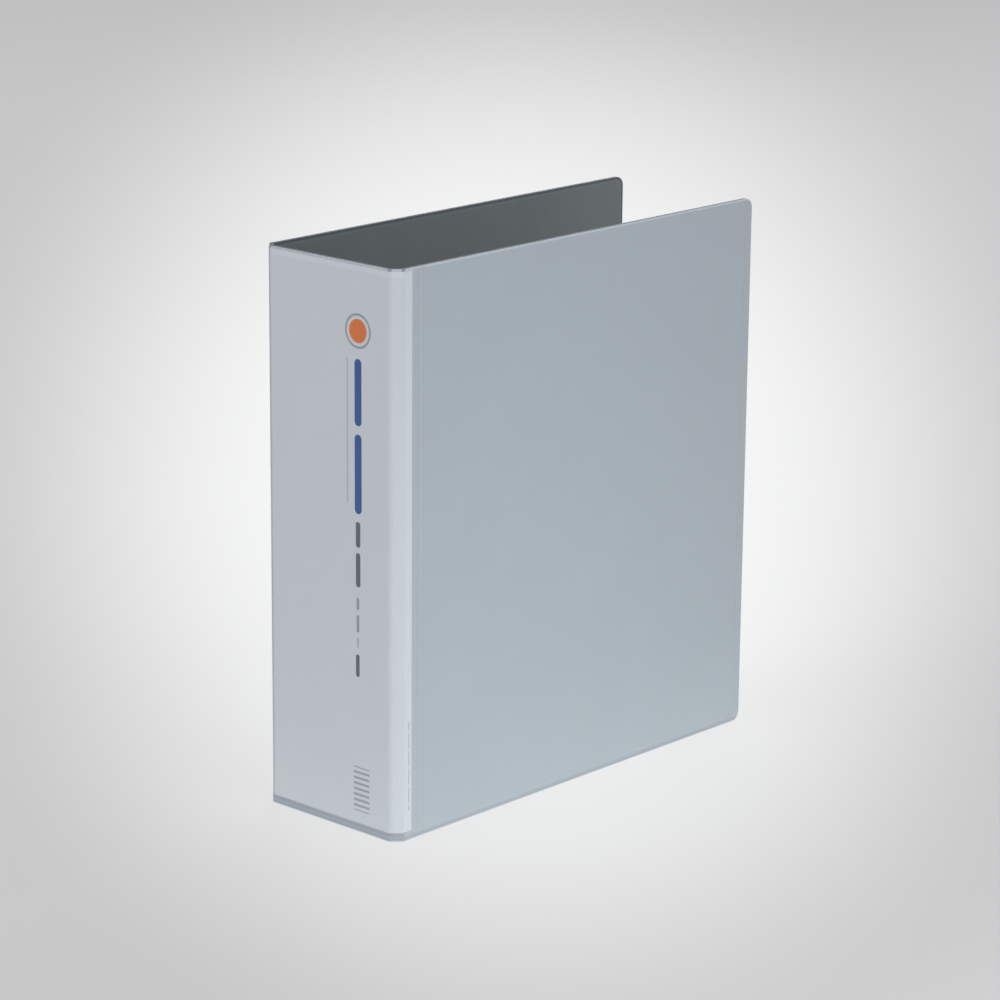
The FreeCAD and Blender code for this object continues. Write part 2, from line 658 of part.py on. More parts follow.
def prong(name, kind, z):
    body = new_body(name)
    profile = new_sketch(body, name + "_wire", "YZ_Plane")
    circle(profile, "0", "0", "Dims.wire_radius")
    path = new_sketch(body, name + "_path", "XY_Plane")
    if kind == "straight":
        outline(
            path,
            [
                ("0", "0"),
                ("%s-Dims.post_corner" % RISE, "0"),
                (RISE, "-Dims.post_corner"),
                (RISE, POST_TIP),
            ],
            {
                1: (
                    "Dims.post_corner",
                    (
                        "%s-Dims.post_corner*(1-cos(45))" % RISE,
                        "-Dims.post_corner*(1-sin(45))",
                    ),
                )
            },
            closed=False,
        )
    else:
        x1 = "Dims.curve_rise"
        x2 = "(%s+%s*sin(%s))" % (x1, B1, LEAN)
        y2 = "(-%s*(1-cos(%s)))" % (B1, LEAN)
        x3 = "(%s+%s*cos(%s))" % (x2, RUN, LEAN)
        y3 = "(%s-%s*sin(%s))" % (y2, RUN, LEAN)
        x4 = "(%s+%s*sin(%s))" % (x3, B2, LEAN)
        y4 = "(-Dims.curve_bulge)"
        x5 = "(%s-%s)" % (RISE, TOP_R)
        half = "(%s/2)" % LEAN
        outline(
            path,
            [
                ("0", "0"),
                (x1, "0"),
                (x2, y2),
                (x3, y3),
                (x4, y4),
                (x5, y4),
                (RISE, "%s+%s" % (y4, TOP_R)),
            ],
            {
                1: (B1, ("%s+%s*sin%s" % (x1, B1, half), "-%s*(1-cos%s)" % (B1, half))),
                3: (B2, ("%s-%s*sin%s" % (x4, B2, half), "%s+%s*(1-cos%s)" % (y4, B2, half))),
                5: (TOP_R, ("%s+%s*sin(45)" % (x5, TOP_R), "%s+%s*(1-cos(45))" % (y4, TOP_R))),
            },
            closed=False,
        )
    doc.recompute()
    sweep = body.newObject("PartDesign::AdditivePipe", name + "_sweep")
    sweep.Profile = profile
    sweep.Spine = (path, [])
    doc.recompute()
    sk = new_sketch(body, name + "_tenon_sketch", "YZ_Plane")
    circle(sk, "0", "0", "Dims.tenon_radius")
    pad(body, name + "_tenon", sk, "Dims.tenon_length", reverse=True)
    if kind == "straight":
        sk = new_sketch(body, name + "_tongue_sketch", "XZ_Plane", "-%s" % POST_TIP)
        circle(sk, RISE, "0", "Dims.tongue_radius")
        pad(body, name + "_tongue", sk, "Dims.tongue_length")
        y_root = y_mech + D["ring_reach"]
    else:
        sk = new_sketch(
            body, name + "_socket_sketch", "XZ_Plane", "-(Dims.ring_reach+Dims.curve_tip_reach)"
        )
        circle(sk, RISE, "0", "Dims.socket_radius")
        pocket(body, name + "_socket", sk, "Dims.socket_depth", reverse=True)
        y_root = y_mech - D["ring_reach"]
    body.Placement = FreeCAD.Placement(V(x_inner + D["ring_root_height"], y_root, z), FreeCAD.Rotation())
    keep(name, body)


for index in range(4):
    z = z_mid + (index - 1.5) * D["ring_pitch"]
    prong("post_prong_%d" % (index + 1), "straight", z)
    prong("curved_prong_%d" % (index + 1), "curved", z)

# ---------------------------------------------------------------- levers
ANG = "Dims.lever_arm_angle"
for end, way in (("top", 1), ("bottom", -1)):
    pin_z = z_mid + way * D["lever_pin_along"]
    body = new_body("lever_%s" % end)
    sk = new_sketch(body, "lever_%s_barrel_sketch" % end, "XZ_Plane")
    circle(sk, "0", "0", "Dims.lever_barrel")
    pad(body, "lever_%s_barrel" % end, sk, "Dims.lever_width", midplane=True)
    sk = new_sketch(body, "lever_%s_arm_sketch" % end, "XZ_Plane")
    length, thick = "Dims.lever_arm_length", "(Dims.lever_arm_thick/2)"
    outline(
        sk,
        [
            ("%s*cos(%s)" % (thick, ANG), "%d*(-%s*sin(%s))" % (way, thick, ANG)),
            (
                "%s*sin(%s)+%s*cos(%s)" % (length, ANG, thick, ANG),
                "%d*(%s*cos(%s)-%s*sin(%s))" % (way, length, ANG, thick, ANG),
            ),
            (
                "%s*sin(%s)-%s*cos(%s)" % (length, ANG, thick, ANG),
                "%d*(%s*cos(%s)+%s*sin(%s))" % (way, length, ANG, thick, ANG),
            ),
            ("-%s*cos(%s)" % (thick, ANG), "%d*(%s*sin(%s))" % (way, thick, ANG)),
        ],
    )
    pad(body, "lever_%s_arm" % end, sk, "Dims.lever_width", midplane=True)
    sk = new_sketch(body, "lever_%s_finger_sketch" % end, "XZ_Plane")
    outline(
        sk,
        [
            ("-4.75", "%d*(-8.5)" % way),
            ("-4.75", "%d*(-3.2)" % way),
            ("-2.0", "%d*1.2" % way),
            ("1.9", "%d*(-1.2)" % way),
            ("-1.6", "%d*(-4.9)" % way),
            ("-3.75", "%d*(-4.9)" % way),
            ("-3.75", "%d*(-8.5)" % way),
        ],
    )
    pad(body, "lever_%s_finger" % end, sk, "Dims.finger_width", midplane=True)
    sk = new_sketch(body, "lever_%s_bore_sketch" % end, "XZ_Plane", "-Dims.lever_width")
    circle(sk, "0", "0", "Dims.lever_bore")
    pocket(body, "lever_%s_bore" % end, sk, "2*Dims.lever_width", reverse=True)
    body.Placement = FreeCAD.Placement(V(x_inner + D["lever_pin_height"], y_mech, pin_z), FreeCAD.Rotation())
    keep("lever_%s" % end, body)

    # Plastic cap pushed over the arm, made along its own z and turned to the arm's angle.
    body = new_body("lever_cap_%s" % end)
    sk = new_sketch(body, "cap_%s_outline" % end, "XY_Plane", "Dims.cap_start")
    box_outline(sk, "-Dims.cap_thick/2", "-Dims.cap_width/2", "Dims.cap_thick/2", "Dims.cap_width/2")
    base = pad(body, "cap_%s_block" % end, sk, "Dims.cap_length")
    top_z = D["cap_start"] + D["cap_length"]

    def at_outer_end(e):
        return all(v.Point.z > top_z - 1e-4 for v in e.Vertexes)

    round_edges(body, "cap_%s_rounding" % end, base, "Dims.cap_round", at_outer_end)
    sk = new_sketch(body, "cap_%s_mouth" % end, "XY_Plane", "Dims.cap_start")
    box_outline(
        sk, "-Dims.lever_arm_thick/2", "-Dims.lever_width/2", "Dims.lever_arm_thick/2", "Dims.lever_width/2"
    )
    pocket(body, "cap_%s_hollow" % end, sk, "Dims.lever_arm_length-Dims.cap_start", reverse=True)
    turn = D["lever_arm_angle"] if way > 0 else 180 - D["lever_arm_angle"]
    body.Placement = FreeCAD.Placement(
        V(x_inner + D["lever_pin_height"], y_mech, pin_z),
        FreeCAD.Rotation(V(0, 1, 0), 90 - turn if way > 0 else 90 + D["lever_arm_angle"]),
    )
    keep("lever_cap_%s" % end, body)

    # Lever pin with a head outside each ear, turned about its own axis.
    body = new_body("lever_pin_%s" % end)
    sk = new_sketch(body, "pin_%s_section" % end, "XY_Plane")
    reach = "(Dims.crown_slot_half+Dims.ear_thick)"
    outline(
        sk,
        [
            ("0", "-(%s+Dims.pin_head_thick)" % reach),
            ("Dims.pin_head_radius", "-(%s+Dims.pin_head_thick)" % reach),
            ("Dims.pin_head_radius", "-%s" % reach),
            ("Dims.lever_pin_radius", "-%s" % reach),
            ("Dims.lever_pin_radius", reach),
            ("Dims.pin_head_radius", reach),
            ("Dims.pin_head_radius", "%s+Dims.pin_head_thick" % reach),
            ("0", "%s+Dims.pin_head_thick" % reach),
        ],
    )
    rev = body.newObject("PartDesign::Revolution", "pin_%s_turned" % end)
    rev.Profile = sk
    rev.ReferenceAxis = (sk, ["V_Axis"])
    rev.Angle = 360
    doc.recompute()
    body.Placement = FreeCAD.Placement(V(x_inner + D["lever_pin_height"], y_mech, pin_z), FreeCAD.Rotation())
    keep("lever_pin_%s" % end, body)

# ---------------------------------------------------------------- rivet posts
# Two alike: flush outer head, shank through the board, post under the crown, stub and inner head.
rivets = []
for label, way in (("rivet_lower", -1), ("rivet_upper", 1)):
    body = new_body(label)
    sk = new_sketch(body, label + "_section", "XY_Plane")
    outline(
        sk,
        [
            ("-Dims.board_thick", "0"),
            ("-Dims.board_thick", "Dims.rivet_outer_head"),
            ("-Dims.board_thick+Dims.rivet_head_depth", "Dims.rivet_outer_head"),
            ("-Dims.board_thick+Dims.rivet_head_depth", "Dims.rivet_shank"),
            ("0", "Dims.rivet_shank"),
            ("0", "Dims.rivet_post"),
            ("Dims.crown_height-Dims.steel_thick", "Dims.rivet_post"),
            ("Dims.crown_height-Dims.steel_thick", "Dims.rivet_stub"),
            ("Dims.crown_height", "Dims.rivet_stub"),
            ("Dims.crown_height", "Dims.rivet_inner_head"),
            ("Dims.crown_height+Dims.rivet_inner_thick*0.4", "Dims.rivet_inner_head"),
            ("Dims.crown_height+Dims.rivet_inner_thick", "Dims.rivet_inner_head*0.6"),
            ("Dims.crown_height+Dims.rivet_inner_thick", "0"),
        ],
    )
    rev = body.newObject("PartDesign::Revolution", label + "_turned")
    rev.Profile = sk
    rev.ReferenceAxis = (sk, ["H_Axis"])
    rev.Angle = 360
    doc.recompute()
    body.Placement = FreeCAD.Placement(V(x_inner, y_mech, z_mid + way * D["rivet_along"]), FreeCAD.Rotation())
    rivets.append(body)
group = doc.addObject("Part::Compound", "post_rivets")
group.Links = rivets
keep("post_rivets", group)

doc.recompute()

# ---------------------------------------------------------------- checks and files
for obj in doc.Objects:
    if "Invalid" in obj.State or "Error" in obj.State:
        raise RuntimeError("%s (%s) is in state %s" % (obj.Name, obj.Label, obj.State))
for name, obj in nodes:
    shape = obj.Shape
    if shape.isNull() or not shape.isValid() or not shape.Solids:
        raise RuntimeError("%s has no valid solid" % name)
    expected = 2 if name == "post_rivets" else 1
    if len(shape.Solids) != expected:
        raise RuntimeError("%s has %d solids" % (name, len(shape.Solids)))

os.makedirs("parts", exist_ok=True)
for old in os.listdir("parts"):
    if old.endswith(".step"):
        os.remove(os.path.join("parts", old))
box = None
for name, obj in nodes:
    obj.Shape.exportStep(os.path.join("parts", name + ".step"))
    b = obj.Shape.BoundBox
    box = b if box is None else box.united(b)
    print("%-20s %9.2f mm3  %s" % (name, obj.Shape.Volume, " ".join("%.2f" % q for q in (b.XMin, b.XMax, b.YMin, b.YMax, b.ZMin, b.ZMax))))
print(len(nodes), "nodes, box", box)
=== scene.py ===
import math

import bmesh
import bpy
import numpy as np
from mathutils import Matrix, Vector


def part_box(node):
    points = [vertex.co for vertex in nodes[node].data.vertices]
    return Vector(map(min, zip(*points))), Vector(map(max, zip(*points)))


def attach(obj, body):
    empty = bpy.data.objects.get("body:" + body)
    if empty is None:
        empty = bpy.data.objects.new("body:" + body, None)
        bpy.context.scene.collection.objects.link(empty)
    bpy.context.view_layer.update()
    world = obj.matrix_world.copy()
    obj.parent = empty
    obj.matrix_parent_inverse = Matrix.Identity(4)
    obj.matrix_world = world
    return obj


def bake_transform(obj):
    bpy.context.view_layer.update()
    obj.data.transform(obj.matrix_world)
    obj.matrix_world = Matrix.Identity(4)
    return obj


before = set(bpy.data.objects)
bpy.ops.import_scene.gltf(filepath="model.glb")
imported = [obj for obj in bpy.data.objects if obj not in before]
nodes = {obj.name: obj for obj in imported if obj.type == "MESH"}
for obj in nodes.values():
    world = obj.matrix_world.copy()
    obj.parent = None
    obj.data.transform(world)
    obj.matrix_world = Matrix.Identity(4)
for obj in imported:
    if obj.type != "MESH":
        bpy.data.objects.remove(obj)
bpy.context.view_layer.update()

MM = 0.001

# ---------------------------------------------------------------- places, all from the frame
cover_lo, cover_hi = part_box("front_cover")
spine_lo, spine_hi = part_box("spine_panel")
film_lo, film_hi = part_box("film_spine")
cfilm_lo, cfilm_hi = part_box("film_front_cover")
paper_lo, paper_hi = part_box("insert_spine")
flap_lo, flap_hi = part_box("insert_front_flap")
BOARD = cover_hi.x - cover_lo.x
X_OUT = cover_hi.x
X_IN = cover_lo.x
Y_OUT = spine_lo.y
Y_FORE = cover_hi.y
Z_TOP = cover_hi.z
CREASE = 5.3 * MM
CX = X_OUT - CREASE
CY = Y_OUT + CREASE
FILM_OUT = cfilm_hi.x - X_OUT
FILM_IN = cfilm_lo.x - X_OUT
PAPER_OUT = Y_OUT - paper_lo.y
STRIP_PLANE = (CX - Y_OUT) / math.sqrt(2)


# ---------------------------------------------------------------- node helpers
class Tree:
    def __init__(self, name):
        self.mat = bpy.data.materials.new(name)
        self.mat.use_nodes = True
        self.nt = self.mat.node_tree
        self.nt.nodes.clear()
        self.out = self.nt.nodes.new("ShaderNodeOutputMaterial")
        tc = self.nt.nodes.new("ShaderNodeTexCoord")
        self.co = tc.outputs["Object"]
        sp = self.nt.nodes.new("ShaderNodeSeparateXYZ")
        self.nt.links.new(self.co, sp.inputs[0])
        self.x, self.y, self.z = sp.outputs[0], sp.outputs[1], sp.outputs[2]

    def set(self, socket, value):
        if isinstance(value, bpy.types.NodeSocket):
            self.nt.links.new(value, socket)
        else:
            socket.default_value = value

    def m(self, op, a, b=None, c=None, clamp=False):
        n = self.nt.nodes.new("ShaderNodeMath")
        n.operation = op
        n.use_clamp = clamp
        self.set(n.inputs[0], a)
        if b is not None:
            self.set(n.inputs[1], b)
        if c is not None:
            self.set(n.inputs[2], c)
        return n.outputs[0]

    def add(self, a, b): return self.m("ADD", a, b)
    def sub(self, a, b): return self.m("SUBTRACT", a, b)
    def mul(self, a, b): return self.m("MULTIPLY", a, b)
    def near(self, a, centre, half): return self.m("COMPARE", a, centre, half)

    def least(self, *values):
        v = values[0]
        for w in values[1:]:
            v = self.m("MINIMUM", v, w)
        return v

    def most(self, *values):
        v = values[0]
        for w in values[1:]:
            v = self.m("MAXIMUM", v, w)
        return v

    def ramp(self, value, lo, hi, out_lo=0.0, out_hi=1.0, smooth=True):
        n = self.nt.nodes.new("ShaderNodeMapRange")
        n.interpolation_type = "SMOOTHSTEP" if smooth else "LINEAR"
        n.clamp = True
        self.set(n.inputs["Value"], value)
        n.inputs["From Min"].default_value = lo
        n.inputs["From Max"].default_value = hi
        n.inputs["To Min"].default_value = out_lo
        n.inputs["To Max"].default_value = out_hi
        return n.outputs["Result"]

    def scaled(self, sx, sy, sz):
        n = self.nt.nodes.new("ShaderNodeMapping")
        self.nt.links.new(self.co, n.inputs["Vector"])
        n.inputs["Scale"].default_value = (sx, sy, sz)
        return n.outputs["Vector"]

    def noise(self, scale, detail=3.0, rough=0.5, vec=None, distortion=0.0):
        n = self.nt.nodes.new("ShaderNodeTexNoise")
        self.nt.links.new(vec if vec is not None else self.co, n.inputs["Vector"])
        n.inputs["Scale"].default_value = scale
        n.inputs["Detail"].default_value = detail
        n.inputs["Roughness"].default_value = rough
        n.inputs["Distortion"].default_value = distortion
        return n.outputs["Fac"]

    def cells(self, scale, vec=None, feature="F1"):
        n = self.nt.nodes.new("ShaderNodeTexVoronoi")
        n.feature = feature
        self.nt.links.new(vec if vec is not None else self.co, n.inputs["Vector"])
        n.inputs["Scale"].default_value = scale
        return n.outputs["Distance"]

    def mix(self, fac, a, b, mode="MIX"):
        n = self.nt.nodes.new("ShaderNodeMix")
        n.data_type = "RGBA"
        n.blend_type = mode
        self.set(n.inputs[0], fac)
        self.set(n.inputs[6], a if isinstance(a, bpy.types.NodeSocket) else (*a, 1.0))
        self.set(n.inputs[7], b if isinstance(b, bpy.types.NodeSocket) else (*b, 1.0))
        return n.outputs[2]

    def shade(self, colour, by, amount):
        """The colour made lighter or darker where by differs from a half."""
        v = self.ramp(by, 0.0, 1.0, 1.0 - amount, 1.0 + amount, smooth=False)
        n = self.nt.nodes.new("ShaderNodeVectorMath")
        n.operation = "SCALE"
        self.set(n.inputs[0], colour if isinstance(colour, bpy.types.NodeSocket) else colour)
        self.nt.links.new(v, n.inputs["Scale"])
        return n.outputs[0]

    def bump(self, height, distance, strength=1.0, normal=None):
        n = self.nt.nodes.new("ShaderNodeBump")
        n.inputs["Distance"].default_value = distance
        n.inputs["Strength"].default_value = strength
        self.set(n.inputs["Height"], height)
        if normal is not None:
            self.nt.links.new(normal, n.inputs["Normal"])
        return n.outputs["Normal"]

    def surface(self, base, rough, metallic=0.0, ior=1.5, coat=0.0, coat_rough=0.1, normal=None, specular=0.5):
        n = self.nt.nodes.new("ShaderNodeBsdfPrincipled")
        self.set(n.inputs["Base Color"], base if isinstance(base, bpy.types.NodeSocket) else (*base, 1.0))
        self.set(n.inputs["Roughness"], rough)
        n.inputs["Metallic"].default_value = metallic
        n.inputs["IOR"].default_value = ior
        n.inputs["Specular IOR Level"].default_value = specular
        n.inputs["Coat Weight"].default_value = coat
        n.inputs["Coat Roughness"].default_value = coat_rough
        if normal is not None:
            self.nt.links.new(normal, n.inputs["Normal"])
        return n.outputs["BSDF"]

    def done(self, shader):
        self.nt.links.new(shader, self.out.inputs["Surface"])
        return self.mat


def linear(r, g, b):
    """An 8-bit screen colour as the linear colour that a shader takes."""
    def one(v):
        v /= 255.0
        return v / 12.92 if v <= 0.04045 else ((v + 0.055) / 1.055) ** 2.4
    return (one(r), one(g), one(b))


# ---------------------------------------------------------------- materials
LIGHT_BOARD = (0.474, 0.534, 0.578)
WELD_BOARD = (0.448, 0.505, 0.552)
DARK_BOARD = (0.270, 0.301, 0.309)
# painted shade: the colour of the board's cut edges and of the dark line along a cover's free edge, darker than the
# sheet itself
BOARD_EDGE_SHADE = (0.095, 0.116, 0.136)
# painted shade for the notches at the tops of the creases
CREASE_NOTCH_SHADE = (0.055, 0.075, 0.100)
PAPER = (0.712, 0.757, 0.790)


def crease_distance(t):
    """Distance, in metres, to the nearest of the four crease lines."""
    ax = t.m("ABSOLUTE", t.x)
    a, b = t.sub(ax, CX), t.sub(t.y, Y_OUT)
    c, d = t.sub(ax, X_OUT), t.sub(t.y, CY)
    to_spine = t.m("SQRT", t.add(t.mul(a, a), t.mul(b, b)))
    to_cover = t.m("SQRT", t.add(t.mul(c, c), t.mul(d, d)))
    return t.least(to_spine, to_cover)


def crease_round(t, w=0.0026):
    """Height, in metres, of the soft rounding that pressed sheet has on each side of a fold: it falls to the crease as a parabola."""
    gap = t.most(t.sub(w, crease_distance(t)), 0.0)
    return t.mul(t.mul(gap, gap), -math.tan(math.radians(22.5)) / (2 * w))


def board_grain(t):
    """Fine moulded grain of a polypropylene sheet: small soft cells with a little random unevenness."""
    cells = t.cells(1500.0, vec=t.scaled(1.0, 1.0, 1.0))
    fine = t.noise(2600.0, 2.0, 0.6)
    broad = t.noise(160.0, 3.0, 0.5)
    return t.add(t.mul(cells, 0.55), t.add(t.mul(fine, 0.5), t.mul(broad, 0.25)))


def make_board():
    t = Tree("board_two_tone")
    # depth under the outside of the case, for a panel in any of the five planes
    d_front = t.sub(X_OUT, t.x)
    d_back = t.add(t.x, X_OUT)
    d_spine = t.sub(t.y, Y_OUT)
    d_fs = t.sub(STRIP_PLANE, t.mul(t.sub(t.x, t.y), math.sqrt(0.5)))
    d_bs = t.sub(STRIP_PLANE, t.mul(t.sub(t.mul(t.x, -1.0), t.y), math.sqrt(0.5)))
    depth = t.least(d_front, d_back, d_spine, d_fs, d_bs)
    outside = t.ramp(depth, 0.00028, 0.00036, 1.0, 0.0)
    inside = t.ramp(depth, BOARD - 0.0003, BOARD - 0.0002, 0.0, 1.0)
    # distance to a cover's free edge, round its corners, positive inside
    r = 0.0055
    qz = t.sub(t.m("ABSOLUTE", t.sub(t.z, Z_TOP / 2)), Z_TOP / 2 - r)
    qy = t.sub(t.y, Y_FORE - r)
    px, py = t.most(qz, 0.0), t.most(qy, 0.0)
    far = t.m("SQRT", t.add(t.mul(px, px), t.mul(py, py)))
    edge = t.sub(r, t.add(far, t.least(t.most(qz, qy), 0.0)))
    rim = t.ramp(edge, 0.0011, 0.0017, 1.0, 0.0)
    # the band just inside the rim, which gets a painted highlight below
    rim_highlight = t.mul(t.ramp(edge, 0.0012, 0.0018), t.ramp(edge, 0.0022, 0.0030, 1.0, 0.0))
    cloud = t.noise(22.0, 4.0, 0.6)
    speck = t.noise(900.0, 2.0, 0.5)
    light = t.shade(t.shade(LIGHT_BOARD, cloud, 0.03), speck, 0.045)
    dark = t.shade(t.shade(DARK_BOARD, cloud, 0.10), speck, 0.10)
    # painted shade: a dark line on the inside face along the free edge, then a painted highlight, a lighter band just
    # inside it
    dark = t.mix(t.mul(rim, 0.60), dark, BOARD_EDGE_SHADE)
    dark = t.mix(t.mul(rim_highlight, 0.45), dark, (0.335, 0.375, 0.390))
    light = t.mix(t.mul(t.ramp(edge, 0.0009, 0.0013, 1.0, 0.0), 0.8), light, (0.60, 0.67, 0.73))
    # the cut edges of the sheet get a painted shade colour, darker than either face
    cut = t.shade(BOARD_EDGE_SHADE, t.noise(700.0, 2.0, 0.6, vec=t.scaled(1.0, 1.0, 0.25)), 0.25)
    base = t.mix(inside, cut, dark)
    base = t.mix(outside, base, light)
    # painted shade at the top ends of the creases, where the notch between the panels lies in shadow
    notch_shade = t.mul(t.ramp(crease_distance(t), 0.0008, 0.0014, 1.0, 0.0), t.ramp(t.z, Z_TOP - 0.0013, Z_TOP - 0.0009))
    base = t.mix(t.mul(notch_shade, 0.45), base, CREASE_NOTCH_SHADE)
    grain = board_grain(t)
    press = t.mul(rim, -0.8)
    normal = t.bump(t.add(grain, press), 0.00007, 0.9, normal=t.bump(crease_round(t), 1.0, 1.0))
    rough = t.ramp(t.noise(400.0, 3.0, 0.5), 0.3, 0.7, 0.42, 0.52)
    return t.done(t.surface(base, rough, ior=1.49, normal=normal, specular=0.42))


def make_web(name, colour):
    t = Tree(name)
    streak = t.noise(500.0, 3.0, 0.5, vec=t.scaled(1.0, 1.0, 0.12))
    base = t.shade(colour, streak, 0.12)
    # painted shade: the web darkens towards its top, where it shows in the crease notch
    base = t.mix(t.ramp(t.z, Z_TOP - 0.0013, Z_TOP - 0.0009, 0.0, 0.7), base, CREASE_NOTCH_SHADE)
    normal = t.bump(streak, 0.00004, 0.8)
    return t.done(t.surface(base, 0.38, ior=1.49, normal=normal, specular=0.42))


def paper_base(t):
    fibre = t.noise(1400.0, 3.0, 0.65, vec=t.scaled(1.0, 1.0, 0.6))
    cloud = t.noise(35.0, 3.0, 0.5)
    base = t.shade(t.shade(PAPER, cloud, 0.012), fibre, 0.02)
    # painted shade along the fold beside the back strip, a thin darker line where the crease falls in shadow
    fold_shade = t.mul(t.ramp(t.x, -CX + 0.0007, -CX + 0.0014, 1.0, 0.0), t.ramp(t.x, -CX - 0.0012, -CX - 0.0006))
    base = t.mix(t.mul(fold_shade, 0.40), base, (0.33, 0.375, 0.42))
    return base, t.bump(fibre, 0.00002, 0.6, normal=t.bump(crease_round(t), 1.0, 1.0))


def make_paper():
    t = Tree("insert_paper")
    base, normal = paper_base(t)
    return t.done(t.surface(base, 0.62, ior=1.45, normal=normal, specular=0.35))


# plain printed blocks on the spine: (x centre, half width, z centre, half height, colour), millimetres
PRINT_BLUE = (0.010, 0.085, 0.340)
PRINT_DARK = (0.110, 0.135, 0.160)
PRINT_GREY = (0.330, 0.365, 0.395)
PRINT_PALE = (0.500, 0.540, 0.580)
PRINT_ORANGE = (0.840, 0.190, 0.010)
BLOCKS = [
    (22.2, 2.6, 248.0, 18.4, PRINT_BLUE),
    (22.2, 2.6, 203.0, 22.0, PRINT_BLUE),
    (14.2, 0.45, 226.0, 40.0, PRINT_PALE),
    (22.0, 1.7, 169.4, 7.2, PRINT_DARK),
    (22.0, 1.7, 149.6, 9.6, PRINT_DARK),
    (21.8, 1.0, 130.6, 3.4, PRINT_GREY),
    (21.8, 1.0, 119.4, 5.0, PRINT_GREY),
    (21.8, 0.8, 108.6, 2.8, PRINT_PALE),
    (21.6, 1.4, 95.6, 6.4, PRINT_DARK),
]


def make_spine_paper():
    t = Tree("insert_paper_spine")
    base, normal = paper_base(t)
    ink = t.noise(2200.0, 2.0, 0.5)
    for xc, hx, zc, hz, colour in BLOCKS:
        # rounded ends: distance to the block's middle line
        dz = t.most(t.sub(t.m("ABSOLUTE", t.sub(t.z, zc * MM)), (hz - hx) * MM), 0.0)
        dx = t.sub(t.x, xc * MM)
        d = t.m("SQRT", t.add(t.mul(dx, dx), t.mul(dz, dz)))
        mask = t.ramp(d, hx * MM - 0.00012, hx * MM + 0.00012, 0.96, 0.0)
        base = t.mix(mask, base, t.shade(colour, ink, 0.05))
    # a plain filing dot inside a thin ring
    dx, dz = t.sub(t.x, 22.2 * MM), t.sub(t.z, 281.5 * MM)
    d = t.m("SQRT", t.add(t.mul(dx, dx), t.mul(dz, dz)))
    base = t.mix(t.ramp(d, 0.00640, 0.00665, 0.95, 0.0), base, t.shade(PRINT_ORANGE, ink, 0.04))
    ring = t.mul(t.ramp(d, 0.0082, 0.0084), t.ramp(d, 0.0095, 0.0097, 1.0, 0.0))
    base = t.mix(t.mul(ring, 0.9), base, t.shade(PRINT_GREY, ink, 0.05))
    # an even row of small rules
    step = t.m("PINGPONG", t.sub(t.z, 12.0 * MM), 1.6 * MM)
    rule = t.mul(t.near(t.x, 24.3 * MM, 6.0 * MM), t.near(t.z, 24.8 * MM, 12.8 * MM))
    rule = t.mul(rule, t.ramp(step, 0.00055, 0.00075, 1.0, 0.0))
    base = t.mix(t.mul(rule, 0.85), base, PRINT_GREY)
    return t.done(t.surface(base, 0.6, ior=1.45, normal=normal, specular=0.35))


def make_flap_paper():
    t = Tree("insert_paper_flap")
    base, normal = paper_base(t)
    line = t.mul(t.near(t.y, -137.5 * MM, 0.35 * MM), t.near(t.z, 42.5 * MM, 25.5 * MM))
    dash = t.ramp(t.m("PINGPONG", t.z, 5.2 * MM), 0.0006, 0.0009)
    base = t.mix(t.mul(t.mul(line, dash), 0.65), base, PRINT_GREY)
    return t.done(t.surface(base, 0.62, ior=1.45, normal=normal, specular=0.35))


